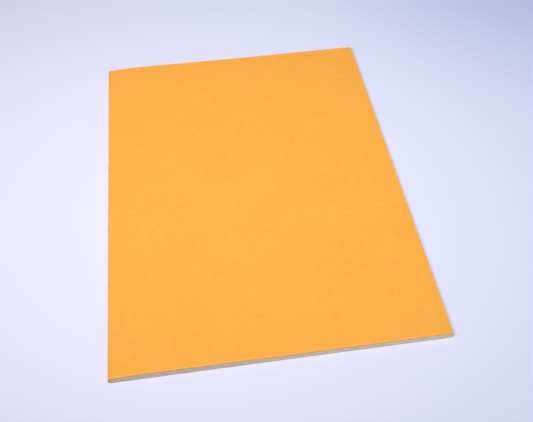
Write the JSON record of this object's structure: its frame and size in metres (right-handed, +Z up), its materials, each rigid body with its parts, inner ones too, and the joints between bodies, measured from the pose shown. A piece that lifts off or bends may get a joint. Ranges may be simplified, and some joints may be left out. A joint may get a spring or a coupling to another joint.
{
  "type": "stapled exercise book",
  "caption": "Closed stapled exercise book with a folded card cover round nested folded sheets; it opens flat about its stapled fold.",
  "frame": {"origin": "on the table, under the centre of the closed book's footprint", "axes": "+X from the spine to the fore-edge, +Y along the spine to the head, +Z up through the front cover"},
  "size_m": [0.2103, 0.297, 0.0051],
  "materials": {
    "cover_card": "matt orange card",
    "page_paper": "uncoated white paper",
    "staple_wire": "galvanised"
  },
  "bodies": {
    "back_cover": {"back_cover": "cover_card"},
    "front_cover": {"front_cover": "cover_card"},
    "spine": {"cover_spine": "cover_card", "tail_staple": "staple_wire", "lower_staple": "staple_wire", "upper_staple": "staple_wire", "head_staple": "staple_wire"},
    "sheet_01_back": {"sheet_01_back_leaf": "page_paper", "sheet_01_fold": "page_paper"},
    "sheet_01_front": {"sheet_01_front_leaf": "page_paper"},
    "sheet_02_back": {"sheet_02_back_leaf": "page_paper", "sheet_02_fold": "page_paper"},
    "sheet_02_front": {"sheet_02_front_leaf": "page_paper"},
    "sheet_03_back": {"sheet_03_back_leaf": "page_paper", "sheet_03_fold": "page_paper"},
    "sheet_03_front": {"sheet_03_front_leaf": "page_paper"},
    "sheet_04_back": {"sheet_04_back_leaf": "page_paper", "sheet_04_fold": "page_paper"},
    "sheet_04_front": {"sheet_04_front_leaf": "page_paper"},
    "sheet_05_back": {"sheet_05_back_leaf": "page_paper", "sheet_05_fold": "page_paper"},
    "sheet_05_front": {"sheet_05_front_leaf": "page_paper"},
    "sheet_06_back": {"sheet_06_back_leaf": "page_paper", "sheet_06_fold": "page_paper"},
    "sheet_06_front": {"sheet_06_front_leaf": "page_paper"},
    "sheet_07_back": {"sheet_07_back_leaf": "page_paper", "sheet_07_fold": "page_paper"},
    "sheet_07_front": {"sheet_07_front_leaf": "page_paper"},
    "sheet_08_back": {"sheet_08_back_leaf": "page_paper", "sheet_08_fold": "page_paper"},
    "sheet_08_front": {"sheet_08_front_leaf": "page_paper"},
    "sheet_09_back": {"sheet_09_back_leaf": "page_paper", "sheet_09_fold": "page_paper"},
    "sheet_09_front": {"sheet_09_front_leaf": "page_paper"},
    "sheet_10_back": {"sheet_10_back_leaf": "page_paper", "sheet_10_fold": "page_paper"},
    "sheet_10_front": {"sheet_10_front_leaf": "page_paper"},
    "sheet_11_back": {"sheet_11_back_leaf": "page_paper", "sheet_11_fold": "page_paper"},
    "sheet_11_front": {"sheet_11_front_leaf": "page_paper"},
    "sheet_12_back": {"sheet_12_back_leaf": "page_paper", "sheet_12_fold": "page_paper"},
    "sheet_12_front": {"sheet_12_front_leaf": "page_paper"},
    "sheet_13_back": {"sheet_13_back_leaf": "page_paper", "sheet_13_fold": "page_paper"},
    "sheet_13_front": {"sheet_13_front_leaf": "page_paper"},
    "sheet_14_back": {"sheet_14_back_leaf": "page_paper", "sheet_14_fold": "page_paper"},
    "sheet_14_front": {"sheet_14_front_leaf": "page_paper"},
    "sheet_15_back": {"sheet_15_back_leaf": "page_paper", "sheet_15_fold": "page_paper"},
    "sheet_15_front": {"sheet_15_front_leaf": "page_paper"},
    "sheet_16_back": {"sheet_16_back_leaf": "page_paper", "sheet_16_fold": "page_paper"},
    "sheet_16_front": {"sheet_16_front_leaf": "page_paper"}
  },
  "joints": [
    {"name": "front_cover_open", "type": "hinge", "parent": "back_cover", "child": "front_cover", "pos_m": [-0.10296, 0, 0.00204], "axis": [0, -1, 0], "range_deg": [0, 175], "deforming": ["cover_spine"]},
    {"name": "spine_turn", "type": "hinge", "parent": "back_cover", "child": "spine", "pos_m": [-0.10296, 0, 0.00204], "axis": [0, -1, 0], "range_deg": [0, 87.5]},
    {"name": "sheet_01_lift", "type": "hinge", "parent": "back_cover", "child": "sheet_01_back", "pos_m": [-0.10296, 0, 0.00204], "axis": [0, -1, 0], "range_deg": [0, 1.13]},
    {"name": "sheet_01_turn", "type": "hinge", "parent": "sheet_01_back", "child": "sheet_01_front", "pos_m": [-0.10296, 0, 0.00204], "axis": [0, -1, 0], "range_deg": [0, 172.75], "deforming": ["sheet_01_fold"]},
    {"name": "sheet_02_lift", "type": "hinge", "parent": "back_cover", "child": "sheet_02_back", "pos_m": [-0.10296, 0, 0.00204], "axis": [0, -1, 0], "range_deg": [0, 2.25]},
    {"name": "sheet_02_turn", "type": "hinge", "parent": "sheet_02_back", "child": "sheet_02_front", "pos_m": [-0.10296, 0, 0.00204], "axis": [0, -1, 0], "range_deg": [0, 170.5], "deforming": ["sheet_02_fold"]},
    {"name": "sheet_03_lift", "type": "hinge", "parent": "back_cover", "child": "sheet_03_back", "pos_m": [-0.10296, 0, 0.00204], "axis": [0, -1, 0], "range_deg": [0, 3.38]},
    {"name": "sheet_03_turn", "type": "hinge", "parent": "sheet_03_back", "child": "sheet_03_front", "pos_m": [-0.10296, 0, 0.00204], "axis": [0, -1, 0], "range_deg": [0, 168.25], "deforming": ["sheet_03_fold"]},
    {"name": "sheet_04_lift", "type": "hinge", "parent": "back_cover", "child": "sheet_04_back", "pos_m": [-0.10296, 0, 0.00204], "axis": [0, -1, 0], "range_deg": [0, 4.5]},
    {"name": "sheet_04_turn", "type": "hinge", "parent": "sheet_04_back", "child": "sheet_04_front", "pos_m": [-0.10296, 0, 0.00204], "axis": [0, -1, 0], "range_deg": [0, 166], "deforming": ["sheet_04_fold"]},
    {"name": "sheet_05_lift", "type": "hinge", "parent": "back_cover", "child": "sheet_05_back", "pos_m": [-0.10296, 0, 0.00204], "axis": [0, -1, 0], "range_deg": [0, 5.63]},
    {"name": "sheet_05_turn", "type": "hinge", "parent": "sheet_05_back", "child": "sheet_05_front", "pos_m": [-0.10296, 0, 0.00204], "axis": [0, -1, 0], "range_deg": [0, 163.75], "deforming": ["sheet_05_fold"]},
    {"name": "sheet_06_lift", "type": "hinge", "parent": "back_cover", "child": "sheet_06_back", "pos_m": [-0.10296, 0, 0.00204], "axis": [0, -1, 0], "range_deg": [0, 6.75]},
    {"name": "sheet_06_turn", "type": "hinge", "parent": "sheet_06_back", "child": "sheet_06_front", "pos_m": [-0.10296, 0, 0.00204], "axis": [0, -1, 0], "range_deg": [0, 161.5], "deforming": ["sheet_06_fold"]},
    {"name": "sheet_07_lift", "type": "hinge", "parent": "back_cover", "child": "sheet_07_back", "pos_m": [-0.10296, 0, 0.00204], "axis": [0, -1, 0], "range_deg": [0, 7.88]},
    {"name": "sheet_07_turn", "type": "hinge", "parent": "sheet_07_back", "child": "sheet_07_front", "pos_m": [-0.10296, 0, 0.00204], "axis": [0, -1, 0], "range_deg": [0, 159.25], "deforming": ["sheet_07_fold"]},
    {"name": "sheet_08_lift", "type": "hinge", "parent": "back_cover", "child": "sheet_08_back", "pos_m": [-0.10296, 0, 0.00204], "axis": [0, -1, 0], "range_deg": [0, 9]},
    {"name": "sheet_08_turn", "type": "hinge", "parent": "sheet_08_back", "child": "sheet_08_front", "pos_m": [-0.10296, 0, 0.00204], "axis": [0, -1, 0], "range_deg": [0, 157], "deforming": ["sheet_08_fold"]},
    {"name": "sheet_09_lift", "type": "hinge", "parent": "back_cover", "child": "sheet_09_back", "pos_m": [-0.10296, 0, 0.00204], "axis": [0, -1, 0], "range_deg": [0, 10.13]},
    {"name": "sheet_09_turn", "type": "hinge", "parent": "sheet_09_back", "child": "sheet_09_front", "pos_m": [-0.10296, 0, 0.00204], "axis": [0, -1, 0], "range_deg": [0, 154.75], "deforming": ["sheet_09_fold"]},
    {"name": "sheet_10_lift", "type": "hinge", "parent": "back_cover", "child": "sheet_10_back", "pos_m": [-0.10296, 0, 0.00204], "axis": [0, -1, 0], "range_deg": [0, 11.25]},
    {"name": "sheet_10_turn", "type": "hinge", "parent": "sheet_10_back", "child": "sheet_10_front", "pos_m": [-0.10296, 0, 0.00204], "axis": [0, -1, 0], "range_deg": [0, 152.5], "deforming": ["sheet_10_fold"]},
    {"name": "sheet_11_lift", "type": "hinge", "parent": "back_cover", "child": "sheet_11_back", "pos_m": [-0.10296, 0, 0.00204], "axis": [0, -1, 0], "range_deg": [0, 12.38]},
    {"name": "sheet_11_turn", "type": "hinge", "parent": "sheet_11_back", "child": "sheet_11_front", "pos_m": [-0.10296, 0, 0.00204], "axis": [0, -1, 0], "range_deg": [0, 150.25], "deforming": ["sheet_11_fold"]},
    {"name": "sheet_12_lift", "type": "hinge", "parent": "back_cover", "child": "sheet_12_back", "pos_m": [-0.10296, 0, 0.00204], "axis": [0, -1, 0], "range_deg": [0, 13.5]},
    {"name": "sheet_12_turn", "type": "hinge", "parent": "sheet_12_back", "child": "sheet_12_front", "pos_m": [-0.10296, 0, 0.00204], "axis": [0, -1, 0], "range_deg": [0, 148], "deforming": ["sheet_12_fold"]},
    {"name": "sheet_13_lift", "type": "hinge", "parent": "back_cover", "child": "sheet_13_back", "pos_m": [-0.10296, 0, 0.00204], "axis": [0, -1, 0], "range_deg": [0, 14.63]},
    {"name": "sheet_13_turn", "type": "hinge", "parent": "sheet_13_back", "child": "sheet_13_front", "pos_m": [-0.10296, 0, 0.00204], "axis": [0, -1, 0], "range_deg": [0, 145.75], "deforming": ["sheet_13_fold"]},
    {"name": "sheet_14_lift", "type": "hinge", "parent": "back_cover", "child": "sheet_14_back", "pos_m": [-0.10296, 0, 0.00204], "axis": [0, -1, 0], "range_deg": [0, 15.75]},
    {"name": "sheet_14_turn", "type": "hinge", "parent": "sheet_14_back", "child": "sheet_14_front", "pos_m": [-0.10296, 0, 0.00204], "axis": [0, -1, 0], "range_deg": [0, 143.5], "deforming": ["sheet_14_fold"]},
    {"name": "sheet_15_lift", "type": "hinge", "parent": "back_cover", "child": "sheet_15_back", "pos_m": [-0.10296, 0, 0.00204], "axis": [0, -1, 0], "range_deg": [0, 16.88]},
    {"name": "sheet_15_turn", "type": "hinge", "parent": "sheet_15_back", "child": "sheet_15_front", "pos_m": [-0.10296, 0, 0.00204], "axis": [0, -1, 0], "range_deg": [0, 141.25], "deforming": ["sheet_15_fold"]},
    {"name": "sheet_16_lift", "type": "hinge", "parent": "back_cover", "child": "sheet_16_back", "pos_m": [-0.10296, 0, 0.00204], "axis": [0, -1, 0], "range_deg": [0, 18]},
    {"name": "sheet_16_turn", "type": "hinge", "parent": "sheet_16_back", "child": "sheet_16_front", "pos_m": [-0.10296, 0, 0.00204], "axis": [0, -1, 0], "range_deg": [0, 139], "deforming": ["sheet_16_fold"]}
  ],
  "couplings": [
    {"joint": "spine_turn", "follows": "front_cover_open", "ratio": 0.5},
    {"joint": "sheet_01_lift", "follows": "front_cover_open", "ratio": 0.0064286},
    {"joint": "sheet_01_turn", "follows": "front_cover_open", "ratio": 0.98714},
    {"joint": "sheet_02_lift", "follows": "front_cover_open", "ratio": 0.012857},
    {"joint": "sheet_02_turn", "follows": "front_cover_open", "ratio": 0.97429},
    {"joint": "sheet_03_lift", "follows": "front_cover_open", "ratio": 0.019286},
    {"joint": "sheet_03_turn", "follows": "front_cover_open", "ratio": 0.96143},
    {"joint": "sheet_04_lift", "follows": "front_cover_open", "ratio": 0.025714},
    {"joint": "sheet_04_turn", "follows": "front_cover_open", "ratio": 0.94857},
    {"joint": "sheet_05_lift", "follows": "front_cover_open", "ratio": 0.032143},
    {"joint": "sheet_05_turn", "follows": "front_cover_open", "ratio": 0.93571},
    {"joint": "sheet_06_lift", "follows": "front_cover_open", "ratio": 0.038571},
    {"joint": "sheet_06_turn", "follows": "front_cover_open", "ratio": 0.92286},
    {"joint": "sheet_07_lift", "follows": "front_cover_open", "ratio": 0.045},
    {"joint": "sheet_07_turn", "follows": "front_cover_open", "ratio": 0.91},
    {"joint": "sheet_08_lift", "follows": "front_cover_open", "ratio": 0.051429},
    {"joint": "sheet_08_turn", "follows": "front_cover_open", "ratio": 0.89714},
    {"joint": "sheet_09_lift", "follows": "front_cover_open", "ratio": 0.057857},
    {"joint": "sheet_09_turn", "follows": "front_cover_open", "ratio": 0.88429},
    {"joint": "sheet_10_lift", "follows": "front_cover_open", "ratio": 0.064286},
    {"joint": "sheet_10_turn", "follows": "front_cover_open", "ratio": 0.87143},
    {"joint": "sheet_11_lift", "follows": "front_cover_open", "ratio": 0.070714},
    {"joint": "sheet_11_turn", "follows": "front_cover_open", "ratio": 0.85857},
    {"joint": "sheet_12_lift", "follows": "front_cover_open", "ratio": 0.077143},
    {"joint": "sheet_12_turn", "follows": "front_cover_open", "ratio": 0.84571},
    {"joint": "sheet_13_lift", "follows": "front_cover_open", "ratio": 0.083571},
    {"joint": "sheet_13_turn", "follows": "front_cover_open", "ratio": 0.83286},
    {"joint": "sheet_14_lift", "follows": "front_cover_open", "ratio": 0.09},
    {"joint": "sheet_14_turn", "follows": "front_cover_open", "ratio": 0.82},
    {"joint": "sheet_15_lift", "follows": "front_cover_open", "ratio": 0.096429},
    {"joint": "sheet_15_turn", "follows": "front_cover_open", "ratio": 0.80714},
    {"joint": "sheet_16_lift", "follows": "front_cover_open", "ratio": 0.10286},
    {"joint": "sheet_16_turn", "follows": "front_cover_open", "ratio": 0.79429}
  ]
}
